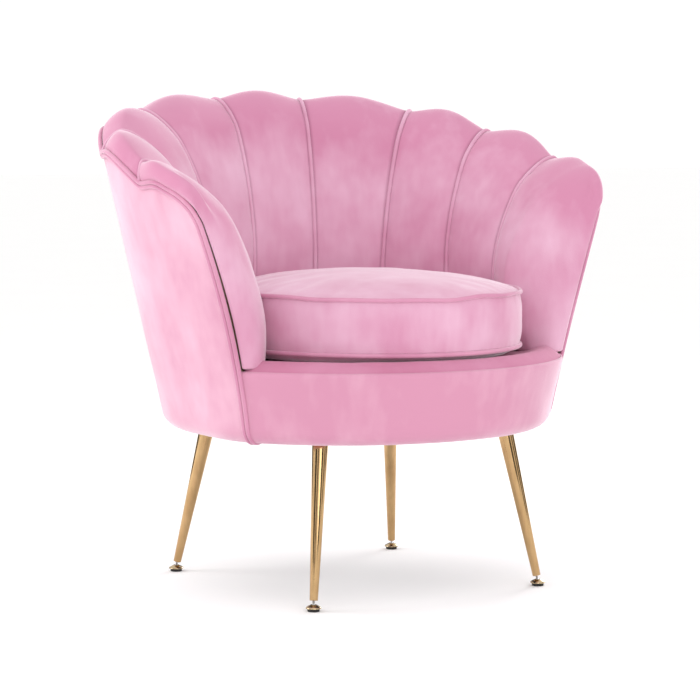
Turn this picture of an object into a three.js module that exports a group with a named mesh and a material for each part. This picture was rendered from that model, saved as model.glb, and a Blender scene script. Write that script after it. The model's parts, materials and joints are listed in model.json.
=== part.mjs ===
// Scallop-backed tub armchair: a round upholstered seat base on four splayed tapered legs,
// a wrap-around back and arms padded in nine upright lobes, and a loose seat cushion.
//
// Millimetres, +Z up, -Y is the front of the seat. The origin is on the floor, under the
// middle of the chair. Round the chair, angles start at the back (+Y) and grow towards +X.
//
// The back and arms are described by three numbers:
//   lobe   which upright channel, 0 at the middle of the back, +-4 at the arms; the seams
//          between channels are at the halves, and +-armLobe is the front edge of an arm
//   z      height above the floor
//   radius distance from the chair's upright axis

import * as THREE from 'three';
import { mergeVertices } from 'three/addons/utils/BufferGeometryUtils.js';

const { degToRad, radToDeg, lerp, smoothstep } = THREE.MathUtils;

// ---------------------------------------------------------------- driving dimensions

// Heights above the floor
const undersideZ = 244; // bottom edge of the upholstered base
const baseHeight = 107; // up to the seam between the front apron and the seat deck
const backHeight = 414; // from that seam to the highest point of the middle lobe

// Plan radius of the base at its bottom edge, and how much wider it is at the arms and the front
const baseRadius = 286;
const armFrontOut = 22;
const frontOut = 14;

// Lean of the outer face, millimetres outwards for each millimetre of height
const backLean = 0.085;
const sideLean = 0.258;
const armFrontLean = 0.19;
const armFrontCurl = 0.00022; // extra lean that grows with height at the arm fronts

// Inside face of the padding: a soft curve that is nearest the sitter at the small of the back
const backThickness = 68; // from the base radius to the inside face, at the inside datum height
const innerDatum = 9; // the inside datum height, above the front seam
const innerLean = -0.194;
const innerLeanSide = -0.068;
const innerCurl = 0.000768;
const innerCurlSide = 0.00054;
const innerRadiusSide = 14;
const leastPadding = 8; // over the panel, where the inside face would come closer

// Channels
const seamAngles = [16.3, 46.8, 75.6, 100.8]; // degrees, at the seam datum height
const seamTwists = [-0.002, 0.012, -0.0183, -0.04]; // degrees for each millimetre above it
const seamDatum = 129; // the seam datum height, above the front seam
const armEndAngle = 118.7; // front edge of an arm at the underside
const armEndTwist = 0.00135;
const armEndCurl = -0.00004775;
const armSideGap = 0.6; // degrees between an arm's front edge and the front of the base
const seamGap = 0.006; // at each side of a seam, of a lobe

// Scalloped crest
const crestFall = 8.2; // drop of a lobe's top, times the lobe number squared
const crestFallEase = 0.078; // keeps the arm lobes from dropping too far, times its 4th power
const scallopDepth = 12.5; // dip at the seams next to the middle lobe
const scallopDepthStep = 2.6; // deeper by this for each lobe further out
const armCornerDrop = 26; // rounding of an arm's front top corner
const armCornerWidth = 0.3; // of a lobe
const weltDrop = 34; // the double welt lies this far under the crest, on the outside
const crestPeak = 0.6; // where the crest is highest, from the inside face towards the panel

// Skins, boards and clearances
const skin = 2; // velvet on thin wadding
const skinGap = 1; // between layers that follow the same curve
const panelThickness = 12; // bent plywood of the back, arms and front rail
const panelRise = 14; // of the panels' lower edges, inside the rolled edge of the velvet
const boardGap = 2; // round the boards and pads that fit inside the panels
const contactGap = 0.3; // between pieces that touch
const weltHalfWidth = 6.4; // two cords side by side
const weltHalfHeight = 3.3;

// Seat structure
const boardUnderside = 8; // the base board lies this far above the base's bottom edge
const boardThickness = 15;
const ringThickness = 18;
const ringWidth = 62;
const springCount = 4;
const springSpacing = 84;
const springWire = 1.7; // radius
const springWave = 16; // half of the zigzag's width
const springPitch = 46;
const springArch = 4;
const clipRailWidth = 16;
const clipRailHeight = 7;
const clipRailOverhang = 26; // past the outer springs
const deckFoamThickness = 22;
const deckCoverThickness = 2;
const dustCoverThickness = 0.8;

// Loose seat cushion, an oval box cushion with piped edges
const cushionSideGap = 6; // to the padding, where it comes closest
const cushionBackGap = 8;
const cushionFrontReach = 16; // beyond the base radius
const cushionThickness = 121;
const cushionLowerSeam = 19; // above the cushion's underside
const cushionUpperSeam = 101;
const cushionFlat = 0.74; // share of the underside that rests on the deck
const cushionBulge = 6.4; // of the side between the seams
const cushionSeamInset = 4;
const pipingRadius = 3.2;

// Legs and their fixings
// A leg's top, under its plate, and its foot, on the floor: the angle round the chair, and how
// far inside the base radius
const frontLeg = { topAngle: 137.45, topInset: 40.4, footAngle: 137.45, footInset: -14.1 };
const backLeg = { topAngle: 49.2, topInset: 61.3, footAngle: 46.6, footInset: 3.8 };
const legRadiusTop = 12.4;
const legRadiusBottom = 6.15;
const legWall = 1.2;
const legBottomRise = 7.6; // of the leg's lower end above the foot's ball, along the leg
const insertLength = 30; // solid end of the leg that holds the foot's stud
const plateRadius = 31;
const plateThickness = 3;
const screwCircle = 22.5;
const screwsPerLeg = 3;
const screwRadius = 2;
const screwHeadRadius = 4;
const screwHeadHeight = 2.2;
const screwLength = 14;
const screwClearance = 0.35;
const screwHeadDish = 0.6; // the head narrows by this share towards its drive face

// Swivelling levelling feet
const padRadius = 9;
const padThickness = 4;
const cupRadius = 11.75;
const cupFloor = 0.45; // under the socket
const cupCover = 2; // of the cup above the middle of the ball
const cupTopRadius = 4.2;
const footChamfer = 0.6; // on the cups and pads
const ballRadius = 3;
const ballClearance = 0.35;
const studRadius = 2;
const studNeckRadius = 1.4;
const studNeckLength = 0.2; // clear of the ball
const studEngagement = 18; // inside the leg with the foot as drawn
const studSpareBore = 6; // free bore above the stud
const threadClearance = 0.3;
const studChamfer = 0.8;

// ---------------------------------------------------------------- shape of the shell

const frontSeamZ = undersideZ + baseHeight;
const backTopZ = frontSeamZ + backHeight;
const innerDatumZ = frontSeamZ + innerDatum;
const seamDatumZ = frontSeamZ + seamDatum;
const armLobe = seamAngles.length + 0.5;
const stepsPerLobe = 4;
const facetHeight = 80; // of the channels
const deckTopZ = frontSeamZ + contactGap + deckCoverThickness;
const panelInset = skin + skinGap; // from the outer face to the panels
const boardInset = panelInset + panelThickness + boardGap;
const boardZ = undersideZ + boardUnderside;
const coverLowerZ = undersideZ + skinGap;
const panelLowerZ = undersideZ + panelRise;

/**
 * Radius of the chair's outer face at an angle in degrees from the back. The back and sides are
 * an oval that widens with height, and the arms run on forwards from it.
 */
function outerRadius(angle, z) {
  const a = Math.abs(angle);
  const height = z - undersideZ;
  const back = baseRadius + backLean * height;
  const side = baseRadius + sideLean * height;
  const oval = 1 / Math.hypot(Math.sin(degToRad(a)) / side, Math.cos(degToRad(a)) / back);
  const armLean = armFrontLean * height + armFrontCurl * height ** 2;
  const armFront = baseRadius + armFrontOut + armLean;
  const front = baseRadius + frontOut + sideLean * height;
  const forwards = lerp(armFront, front, smoothstep(a, armEndAngle, 180));
  return lerp(oval, forwards, smoothstep(a, 90, armEndAngle));
}

/** The same direction as an angle between -180 and 180. */
function fromBack(angle) {
  return angle - 360 * Math.round(angle / 360);
}

/** Radius of the padding's inside face. */
function innerRadius(angle, z) {
  const side = degToRad(angle) ** 2;
  const height = z - innerDatumZ;
  const radius = baseRadius - backThickness + innerRadiusSide * side;
  const lean = innerLean + innerLeanSide * side;
  const curl = innerCurl + innerCurlSide * side;
  return radius + lean * height + curl * height * height;
}

/** Angle of an arm's front edge at a height. */
function armEdgeAngle(z) {
  const height = z - undersideZ;
  return armEndAngle + armEndTwist * height + armEndCurl * height * height;
}

/** Angle of a place across the channels at a height. */
function lobeAngle(lobe, z) {
  const seams = seamAngles.map((angle, i) => angle + seamTwists[i] * (z - seamDatumZ));
  const stops = [-seams[0], ...seams, armEdgeAngle(z)];
  const place = Math.abs(lobe) + 0.5;
  const index = Math.min(Math.floor(place), stops.length - 2);
  return Math.sign(lobe) * lerp(stops[index], stops[index + 1], place - index);
}

/** Height of the scalloped crest. */
function crestZ(lobe) {
  const l = Math.abs(lobe);
  const envelope = backTopZ - crestFall * l ** 2 + crestFallEase * l ** 4;
  const across = 2 * (l - Math.round(l)); // -1..1 over one channel
  const dip = (across ** 2 + (1 - Math.cos(Math.PI * across)) / 2) / 2;
  const depth = scallopDepth + scallopDepthStep * l;
  const pastLastLobe = l > seamAngles.length;
  const corner = Math.max(0, (l - armLobe + armCornerWidth) / armCornerWidth);
  const cornerDrop = armCornerDrop * (1 - Math.sqrt(Math.max(0, 1 - corner ** 2)));
  return envelope - (pastLastLobe ? cornerDrop : depth * dip);
}

function weltZ(lobe) {
  return crestZ(lobe) - weltDrop;
}

function polar(angle, radius, z) {
  const a = degToRad(angle);
  return new THREE.Vector3(radius * Math.sin(a), radius * Math.cos(a), z);
}

// ---------------------------------------------------------------- geometry helpers

/** Leaves out the triangles that merging has shrunk to a line, as at the pole of a turned piece. */
function withoutPoints(index) {
  const kept = [];
  for (let i = 0; i < index.length; i += 3) {
    const [a, b, c] = [index[i], index[i + 1], index[i + 2]];
    if (a !== b && b !== c && c !== a) kept.push(a, b, c);
  }
  return kept;
}

/** Merges shared corners and makes the faces of a closed geometry point outwards. */
function closed(geometry) {
  const bare = new THREE.BufferGeometry();
  bare.setAttribute('position', geometry.getAttribute('position'));
  if (geometry.index) bare.setIndex(geometry.index);
  const merged = mergeVertices(bare, 1e-4);
  const index = withoutPoints(merged.index.array);
  merged.setIndex(index);
  const [a, b, c] = [new THREE.Vector3(), new THREE.Vector3(), new THREE.Vector3()];
  const position = merged.getAttribute('position');
  let volume = 0;
  for (let i = 0; i < index.length; i += 3) {
    a.fromBufferAttribute(position, index[i]);
    b.fromBufferAttribute(position, index[i + 1]);
    c.fromBufferAttribute(position, index[i + 2]);
    volume += a.dot(b.cross(c));
  }
  if (volume < 0) {
    for (let i = 0; i < index.length; i += 3) {
      [index[i + 1], index[i + 2]] = [index[i + 2], index[i + 1]];
    }
    merged.setIndex(index);
  }
  merged.computeVertexNormals();
  return merged;
}

/** Moves every corner of a geometry to the place that a function gives for it. */
function warp(geometry, place) {
  const position = geometry.getAttribute('position');
  const at = new THREE.Vector3();
  for (let i = 0; i < position.count; i += 1) {
    at.fromBufferAttribute(position, i);
    const to = place(at.x, at.y, at.z);
    position.setXYZ(i, to.x, to.y, to.z);
  }
  return closed(geometry);
}

/**
 * A unit block, 0..1 each way, ready to be warped. The squares of its far face are split along
 * the same diagonals as those of its near face, so that two bent layers stay a gap apart.
 */
function unitBlock(stepsX, stepsY) {
  const box = new THREE.BoxGeometry(1, 1, 1, stepsX, stepsY, 1).translate(0.5, 0.5, 0.5);
  const farFace = box.groups[5];
  const index = box.index.array;
  for (let i = farFace.start; i < farFace.start + farFace.count; i += 6) {
    const [a, b, d, , c] = index.slice(i, i + 5);
    index.set([a, b, c, a, c, d], i);
  }
  return box;
}

/** Flat plate between two heights with an outline and round holes. */
function plate(outline, z, thickness, holes = []) {
  const shape = new THREE.Shape(outline);
  for (const hole of holes) {
    const path = new THREE.Path();
    path.absarc(hole.x, hole.y, hole.radius, 0, 2 * Math.PI, false);
    shape.holes.push(path);
  }
  const geometry = new THREE.ExtrudeGeometry(shape, {
    depth: thickness, bevelEnabled: false, curveSegments: 3,
  });
  return closed(geometry.translate(0, 0, z));
}

/** Points from one angle to another, on a radius that is a function of the angle. */
function planArc(from, to, radiusAt, steps) {
  return Array.from({ length: steps + 1 }, (_, i) => {
    const angle = lerp(from, to, i / steps);
    const p = polar(angle, radiusAt(angle), 0);
    return new THREE.Vector2(p.x, p.y);
  });
}

/** Closed outline whose radius is a function of the angle. */
function planOutline(radiusAt, steps = 44) {
  return planArc(180, -180 + 360 / steps, radiusAt, steps - 1);
}

function turned(profile, segments) {
  return new THREE.LatheGeometry(profile.map(([x, y]) => new THREE.Vector2(x, y)), segments)
    .rotateX(Math.PI / 2);
}

// ---------------------------------------------------------------- materials

const velvet = { color: 0xe3a3c0, roughness: 0.85, metalness: 0 };
const finishes = {
  velvet_back: velvet,
  velvet_outside: velvet,
  velvet_deck: velvet,
  velvet_cushion: velvet,
  velvet_welt: { color: 0xd992b4, roughness: 0.85, metalness: 0 },
  plywood: { color: 0xc8a878, roughness: 0.7, metalness: 0 },
  foam: { color: 0xefe6cf, roughness: 0.95, metalness: 0 },
  lining: { color: 0x26262a, roughness: 0.95, metalness: 0 },
  spring_steel: { color: 0x6d6f73, roughness: 0.4, metalness: 1 },
  clip_plastic: { color: 0xe8e6e0, roughness: 0.5, metalness: 0 },
  gold: { color: 0xc9a063, roughness: 0.18, metalness: 1 },
  zinc: { color: 0xb9bcc0, roughness: 0.35, metalness: 1 },
  foot_pad: { color: 0x1c1c1e, roughness: 0.7, metalness: 0 },
};

const chair = new THREE.Group();

function add(name, geometry, finish) {
  const mesh = new THREE.Mesh(geometry, new THREE.MeshStandardMaterial(finishes[finish]));
  mesh.name = name;
  chair.add(mesh);
  return mesh;
}

// ---------------------------------------------------------------- shell of back and arms

/** A layer that follows the outer face, from an inset to an inset plus a thickness. */
function shellLayer(inset, thickness, lowerZ) {
  const geometry = unitBlock(2 * armLobe * stepsPerLobe, 4);
  return warp(geometry, (u, v, t) => {
    const lobe = lerp(-armLobe, armLobe, u);
    const z = lerp(lowerZ, weltZ(lobe) - skinGap, v);
    const angle = lobeAngle(lobe, z);
    return polar(angle, outerRadius(angle, z) - inset - t * thickness, z);
  });
}

/**
 * Section of one channel before it is bent into place. Across: 0 is the inside face, 1 the
 * inner side of the panel and 2 the outer face. Up: 0 is the deck, 1 the welt line, 2 the crest.
 */
function channelSection() {
  const rows = Math.round((backTopZ - weltDrop - deckTopZ) / facetHeight);
  const rise = Array.from({ length: rows + 1 }, (_, i) => i / rows);
  const arc = [15, 35, 60, 90, 120, 150].map(degToRad);
  const shape = new THREE.Shape();
  shape.moveTo(1, 0);
  rise.forEach((v) => shape.lineTo(0, v));
  for (const a of arc) {
    const half = a < Math.PI / 2 ? crestPeak : 2 - crestPeak;
    shape.lineTo(crestPeak - half * Math.cos(a), 1 + Math.sin(a));
  }
  shape.lineTo(2, 1);
  rise.slice(1).reverse().forEach((v) => shape.lineTo(1, v));
  shape.closePath();
  return shape;
}

function channel(lobe) {
  const from = lobe - 0.5 + seamGap;
  const to = lobe + 0.5 - seamGap;
  const geometry = new THREE.ExtrudeGeometry(channelSection(), {
    depth: 1, steps: stepsPerLobe, bevelEnabled: false,
  });
  return warp(geometry, (across, up, u) => {
    const place = lerp(from, to, u);
    const shoulder = weltZ(place) + skinGap;
    const floorZ = deckTopZ + skinGap;
    const top = crestZ(place);
    const z = up <= 1 ? lerp(floorZ, shoulder, up) : lerp(shoulder, top, up - 1);
    const angle = lobeAngle(place, z);
    const outer = outerRadius(angle, z);
    const panel = outer - boardInset;
    const inner = Math.min(innerRadius(angle, z), panel - leastPadding);
    const radius = across <= 1 ? lerp(inner, panel, across) : lerp(panel, outer, across - 1);
    return polar(angle, radius, z);
  });
}

/** Path of the double welt: up one arm front, along the scallops and down the other. */
function weltPath() {
  const standOff = weltHalfHeight + skinGap;
  const onFace = (lobe, z) => {
    const angle = lobeAngle(lobe, z);
    return polar(angle, outerRadius(angle, z) + standOff, z);
  };
  const edge = [];
  const cornerZ = weltZ(armLobe);
  for (let i = 0; i < 12; i += 1) edge.push(lerp(undersideZ, cornerZ, i / 12));
  const points = edge.map((z) => onFace(-armLobe, z));
  const steps = 2 * armLobe * stepsPerLobe;
  for (let i = 0; i <= steps; i += 1) {
    const lobe = lerp(-armLobe, armLobe, i / steps);
    points.push(onFace(lobe, weltZ(lobe)));
  }
  edge.reverse().forEach((z) => points.push(onFace(armLobe, z)));
  return new THREE.CatmullRomCurve3(points, false, 'centripetal');
}

/** Outward normal of the outer face, beside a point on it. */
function faceNormal(at) {
  const angle = radToDeg(Math.atan2(at.x, at.y));
  const slope = outerRadius(angle, at.z + 1) - outerRadius(angle, at.z);
  return new THREE.Vector3(at.x, at.y, 0).normalize().setZ(-slope).normalize();
}

function doubleWelt() {
  const path = weltPath();
  const steps = 90;
  path.arcLengthDivisions = 1200;
  const geometry = new THREE.CylinderGeometry(1, 1, 1, 8, steps).translate(0, 0.5, 0);
  return warp(geometry, (x, along, y) => {
    const at = path.getPointAt(Math.min(1, Math.max(0, along)));
    const tangent = path.getTangentAt(Math.min(1, Math.max(0, along)));
    const outwards = faceNormal(at);
    outwards.addScaledVector(tangent, -outwards.dot(tangent)).normalize();
    const acrossWelt = tangent.clone().cross(outwards);
    return at.addScaledVector(acrossWelt, x * weltHalfWidth)
      .addScaledVector(outwards, y * weltHalfHeight);
  });
}

function addShell() {
  add('back_panel', shellLayer(panelInset, panelThickness, panelLowerZ), 'plywood');
  add('outer_cover', shellLayer(0, skin, coverLowerZ), 'velvet_outside');
  for (let i = 0; i <= 2 * seamAngles.length; i += 1) {
    add(`back_channel_${i + 1}`, channel(i - seamAngles.length), 'velvet_back');
  }
  add('double_welt', doubleWelt(), 'velvet_welt');
}

// ---------------------------------------------------------------- seat base

/** A layer of the front of the base, between the two arm fronts. */
function frontLayer(inset, thickness, lowerZ) {
  return warp(unitBlock(20, 2), (u, v, t) => {
    const z = lerp(lowerZ, frontSeamZ - skinGap, v);
    const edge = armEdgeAngle(z) + armSideGap;
    const angle = lerp(edge, 360 - edge, u);
    return polar(angle, outerRadius(fromBack(angle), z) - inset - t * thickness, z);
  });
}

function legPlaces() {
  const sides = [['left', -1], ['right', 1]];
  const ends = [['front', frontLeg], ['back', backLeg]];
  return sides.flatMap(([side, sign]) => ends.map(([end, leg]) => ({
    name: `${end}_${side}`,
    foot: polar(sign * leg.footAngle, baseRadius - leg.footInset, 0),
    top: polar(sign * leg.topAngle, baseRadius - leg.topInset, 0),
  })));
}

function screwPlaces(leg) {
  const outwards = Math.atan2(leg.top.y, leg.top.x);
  return Array.from({ length: screwsPerLeg }, (_, i) => {
    const a = outwards + ((i + 0.5) * 2 * Math.PI) / screwsPerLeg;
    return new THREE.Vector2(
      leg.top.x + screwCircle * Math.cos(a),
      leg.top.y + screwCircle * Math.sin(a),
    );
  });
}

function screwHoles(leg) {
  const radius = screwRadius + screwClearance;
  return screwPlaces(leg).map((p) => ({ x: p.x, y: p.y, radius }));
}

function addBase() {
  const holes = legPlaces().flatMap(screwHoles);
  const insideAt = (z) => (angle) => outerRadius(angle, z) - boardInset;
  const boardOutline = planOutline(insideAt(boardZ));
  add('base_board', plate(boardOutline, boardZ, boardThickness, holes), 'plywood');
  const dustZ = boardZ - contactGap - dustCoverThickness;
  add('dust_cover', plate(boardOutline, dustZ, dustCoverThickness, holes), 'lining');
  add('front_rail', frontLayer(panelInset, panelThickness, panelLowerZ), 'plywood');
  add('front_apron', frontLayer(0, skin, coverLowerZ), 'velvet_outside');
}

// ---------------------------------------------------------------- springs and deck

const deckFoamZ = frontSeamZ - skinGap - deckFoamThickness;
const ringZ = deckFoamZ - skinGap - clipRailHeight - ringThickness;

function ovalHole(outline, radiusAt) {
  const hole = new THREE.Path(planOutline(radiusAt, 40));
  const shape = new THREE.Shape(outline);
  shape.holes.push(hole);
  return shape;
}

function addSprings() {
  const outer = (angle) => outerRadius(angle, ringZ) - boardInset;
  const inner = (angle) => outer(angle) - ringWidth;
  const ring = new THREE.ExtrudeGeometry(ovalHole(planOutline(outer), inner), {
    depth: ringThickness, bevelEnabled: false,
  });
  add('spring_ring', closed(ring.translate(0, 0, ringZ)), 'plywood');

  const ringTop = ringZ + ringThickness + contactGap;
  const halfRail = ((springCount - 1) * springSpacing) / 2 + clipRailOverhang;
  const railReach = Math.cos(Math.asin(halfRail / inner(0))) * inner(0);
  const railY = { back: railReach + ringWidth / 2, front: -railReach - ringWidth / 2 };
  for (const [end, y] of Object.entries(railY)) {
    const rail = new THREE.BoxGeometry(2 * halfRail, clipRailWidth, clipRailHeight);
    rail.translate(0, y, ringTop + clipRailHeight / 2);
    add(`spring_clip_rail_${end}`, closed(rail), 'clip_plastic');
  }

  const from = railY.front + clipRailWidth / 2 + springWire;
  const to = railY.back - clipRailWidth / 2 - springWire;
  const waves = Math.round((to - from) / springPitch);
  for (let i = 0; i < springCount; i += 1) {
    const x = (i - (springCount - 1) / 2) * springSpacing;
    add(`zigzag_spring_${i + 1}`, zigzagSpring(x, from, to, waves, ringTop), 'spring_steel');
  }
}

function zigzagSpring(x, from, to, waves, ringTop) {
  const z = ringTop + springWire + contactGap;
  const pointsPerWave = 4;
  const count = waves * pointsPerWave;
  const points = Array.from({ length: count + 1 }, (_, i) => {
    const along = i / count;
    const swing = springWave * Math.sin((2 * Math.PI * i) / pointsPerWave);
    const arch = springArch * Math.sin(Math.PI * along);
    return new THREE.Vector3(x + swing, lerp(from, to, along), z + arch);
  });
  const wire = new THREE.Shape();
  wire.absarc(0, 0, springWire, 0, 2 * Math.PI, false);
  return closed(new THREE.ExtrudeGeometry(wire, {
    steps: Math.round(count * 1.5), curveSegments: 3, bevelEnabled: false,
    extrudePath: new THREE.CatmullRomCurve3(points, false, 'centripetal'),
  }));
}

function addDeck() {
  const foamOutline = planOutline((angle) => outerRadius(angle, deckFoamZ) - boardInset);
  add('deck_foam', plate(foamOutline, deckFoamZ, deckFoamThickness), 'foam');
  const edge = armEdgeAngle(frontSeamZ) + armSideGap;
  const behind = (angle) => outerRadius(angle, frontSeamZ) - boardInset;
  const inFront = (angle) => outerRadius(fromBack(angle), frontSeamZ) - contactGap;
  const coverOutline = [
    ...planArc(edge, -edge, behind, 28), ...planArc(-edge, edge - 360, inFront, 16),
  ];
  const coverZ = frontSeamZ + contactGap;
  add('deck_cover', plate(coverOutline, coverZ, deckCoverThickness), 'velvet_deck');
}

// ---------------------------------------------------------------- seat cushion

/** Smallest radius of the padding's inside face over the height of the cushion. */
function seatRadius(angle) {
  const samples = 12;
  const radii = Array.from({ length: samples + 1 }, (_, i) => {
    return innerRadius(angle, deckTopZ + (cushionThickness * i) / samples);
  });
  return Math.min(...radii);
}

/** Makes a turned piece oval, and puts it in the seat. */
function oval(geometry, halfWidth) {
  const backY = seatRadius(0) - cushionBackGap;
  const frontY = -baseRadius - cushionFrontReach;
  geometry.scale(1, (backY - frontY) / 2 / halfWidth, 1);
  return closed(geometry.translate(0, (backY + frontY) / 2, 0));
}

function addCushion() {
  const halfWidth = seatRadius(90) - cushionSideGap;
  const r = halfWidth - cushionSeamInset;
  const bottom = deckTopZ + skinGap;
  const lower = bottom + cushionLowerSeam;
  const upper = bottom + cushionUpperSeam;
  const top = bottom + cushionThickness;
  const round = (from, to, share) => {
    return [r * share, lerp(from, to, Math.sqrt(1 - share ** 2.5))];
  };
  const border = [0, 0.12, 0.35, 0.65, 0.88, 1].map((t) => {
    return [r + cushionBulge * Math.sin(Math.PI * t), lerp(lower, upper, t)];
  });
  const profile = [
    [0, bottom], [cushionFlat * r, bottom], round(lower, bottom, (cushionFlat + 2) / 3),
    ...border, round(upper, top, 0.9), round(upper, top, 0.7), [0, top],
  ];
  add('seat_cushion', oval(turned(profile, 32), halfWidth), 'velvet_cushion');
  for (const [edge, z] of [['bottom', lower], ['top', upper]]) {
    const centre = r + pipingRadius + contactGap + cushionBulge / 3;
    const ring = new THREE.TorusGeometry(centre, pipingRadius, 6, 32).translate(0, 0, z);
    add(`cushion_piping_${edge}`, oval(ring, halfWidth), 'velvet_welt');
  }
}

// ---------------------------------------------------------------- legs

const plateZ = boardZ - 2 * contactGap - dustCoverThickness - plateThickness;
const legTopZ = plateZ - contactGap;

const ballZ = padThickness + contactGap + cupFloor + ballClearance + ballRadius;
const cupTopZ = ballZ + cupCover;

/** Puts a piece turned about the leg's axis, 0 at the foot's ball, onto a leg. */
function alongLeg(geometry, leg) {
  const ball = leg.foot.clone().setZ(ballZ);
  const up = leg.top.clone().setZ(legTopZ).sub(ball).normalize();
  const tilt = new THREE.Quaternion().setFromUnitVectors(new THREE.Vector3(0, 0, 1), up);
  return { geometry: geometry.applyQuaternion(tilt).translate(ball.x, ball.y, ball.z), up };
}

function legTube(leg) {
  const ball = leg.foot.clone().setZ(ballZ);
  const length = leg.top.clone().setZ(legTopZ).sub(ball).length();
  const bottom = legBottomRise;
  const insert = bottom + insertLength;
  const radiusAt = (h) => lerp(legRadiusBottom, legRadiusTop, (h - bottom) / (length - bottom));
  const bore = studRadius + threadClearance;
  const boreEnd = bottom + studEngagement + studSpareBore;
  const profile = [
    [bore, bottom], [radiusAt(bottom), bottom], [radiusAt(length), length],
    [radiusAt(length) - legWall, length], [radiusAt(insert) - legWall, insert],
    [bore, boreEnd], [bore, bottom],
  ];
  const tube = alongLeg(turned(profile, 16), leg);
  // The top is cut level, to meet the plate.
  return warp(tube.geometry, (x, y, z) => {
    const at = new THREE.Vector3(x, y, z);
    const isTop = Math.abs(at.clone().sub(ball).dot(tube.up) - length) < 0.01;
    return isTop ? at.addScaledVector(tube.up, (legTopZ - z) / tube.up.z) : at;
  });
}

function stud(leg) {
  const seat = Math.sqrt(ballRadius ** 2 - studNeckRadius ** 2);
  const top = legBottomRise + studEngagement;
  const neck = ballRadius + studNeckLength;
  const ball = [0, 30, 60, 90, 120].map((a) => {
    const angle = degToRad(a);
    return [ballRadius * Math.sin(angle), -ballRadius * Math.cos(angle)];
  });
  const profile = [
    ...ball, [studNeckRadius, seat], [studNeckRadius, neck], [studRadius, neck + studChamfer / 2],
    [studRadius, top - studChamfer], [studRadius - studChamfer, top], [0, top],
  ];
  return closed(alongLeg(turned(profile, 10), leg).geometry);
}

function cup(leg) {
  const bottom = padThickness + contactGap;
  const socket = ballRadius + ballClearance;
  const openAngle = Math.asin(cupCover / socket);
  const wall = [0, 0.25, 0.5, 0.75, 1].map((t) => {
    const a = lerp(openAngle, -Math.PI / 2, t);
    return [t === 1 ? 0 : socket * Math.cos(a), ballZ + socket * Math.sin(a)];
  });
  const profile = [
    [0, bottom], [cupRadius - footChamfer, bottom], [cupRadius, bottom + footChamfer],
    [cupRadius, bottom + 2 * footChamfer],
    [lerp(cupTopRadius, cupRadius, 0.6), lerp(bottom, cupTopZ, 0.6)],
    [cupTopRadius, cupTopZ], ...wall,
  ];
  return closed(turned(profile, 16).translate(leg.foot.x, leg.foot.y, 0));
}

function pad(leg) {
  const profile = [
    [0, 0], [padRadius - footChamfer, 0], [padRadius, footChamfer], [padRadius, padThickness],
    [0, padThickness],
  ];
  return closed(turned(profile, 16).translate(leg.foot.x, leg.foot.y, 0));
}

function screw(place) {
  const headZ = plateZ - contactGap - screwHeadHeight;
  const profile = [
    [0, headZ], [screwHeadDish * screwHeadRadius, headZ],
    [screwHeadRadius, headZ + screwHeadDish * screwHeadHeight],
    [screwHeadRadius, headZ + screwHeadHeight], [screwRadius, headZ + screwHeadHeight],
    [screwRadius, headZ + screwLength - screwRadius], [0, headZ + screwLength],
  ];
  return closed(turned(profile, 8).translate(place.x, place.y, 0));
}

function addLeg(leg) {
  const disc = planOutline(() => plateRadius, 20);
  const outline = disc.map((p) => p.add(new THREE.Vector2(leg.top.x, leg.top.y)));
  add(`leg_plate_${leg.name}`, plate(outline, plateZ, plateThickness, screwHoles(leg)), 'zinc');
  screwPlaces(leg).forEach((place, i) => {
    add(`leg_screw_${leg.name}_${i + 1}`, screw(place), 'zinc');
  });
  add(`leg_${leg.name}`, legTube(leg), 'gold');
  add(`foot_stud_${leg.name}`, stud(leg), 'zinc');
  add(`foot_cup_${leg.name}`, cup(leg), 'gold');
  add(`foot_pad_${leg.name}`, pad(leg), 'foot_pad');
}

addBase();
addSprings();
addDeck();
addShell();
addCushion();
legPlaces().forEach(addLeg);

export default chair;
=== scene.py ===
"""A scallop-backed tub armchair, upholstered in pink velvet, on four slim gold legs."""

import json
import math

import bpy
import numpy as np
from mathutils import Matrix, Vector, noise

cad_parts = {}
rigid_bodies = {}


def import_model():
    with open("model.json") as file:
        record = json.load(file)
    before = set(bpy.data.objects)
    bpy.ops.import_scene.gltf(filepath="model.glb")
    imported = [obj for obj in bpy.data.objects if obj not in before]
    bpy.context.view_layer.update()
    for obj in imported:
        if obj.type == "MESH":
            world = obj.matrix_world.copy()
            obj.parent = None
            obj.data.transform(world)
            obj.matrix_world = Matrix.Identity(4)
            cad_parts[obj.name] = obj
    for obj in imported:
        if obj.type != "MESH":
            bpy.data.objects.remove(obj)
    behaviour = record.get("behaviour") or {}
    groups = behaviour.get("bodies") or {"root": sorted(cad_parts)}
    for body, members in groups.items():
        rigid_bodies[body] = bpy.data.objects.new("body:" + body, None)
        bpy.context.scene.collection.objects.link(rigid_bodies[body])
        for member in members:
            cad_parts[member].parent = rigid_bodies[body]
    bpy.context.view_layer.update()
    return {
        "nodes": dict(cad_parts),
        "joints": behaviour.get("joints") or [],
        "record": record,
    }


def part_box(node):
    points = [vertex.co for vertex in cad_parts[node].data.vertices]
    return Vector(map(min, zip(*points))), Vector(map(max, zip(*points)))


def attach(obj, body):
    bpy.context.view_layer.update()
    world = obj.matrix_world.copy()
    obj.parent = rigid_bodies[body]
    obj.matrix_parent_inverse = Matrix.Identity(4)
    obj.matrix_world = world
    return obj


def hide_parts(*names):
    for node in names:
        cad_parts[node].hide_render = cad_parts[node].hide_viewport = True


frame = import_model()
scene = bpy.context.scene

# ---------------------------------------------------------------------------
# Studio: a camera with a long lens and a white room, with large soft lamps in
# front, above and behind each side. The floor and flags are in the last section.
# ---------------------------------------------------------------------------

VIEW_AZIMUTH = math.radians(-32.32)
VIEW_ELEVATION = math.radians(4.92)
VIEW_DISTANCE = 4.104
VIEW_TARGET = Vector((0, 0, 0.358))
LENS = 135.15


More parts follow.
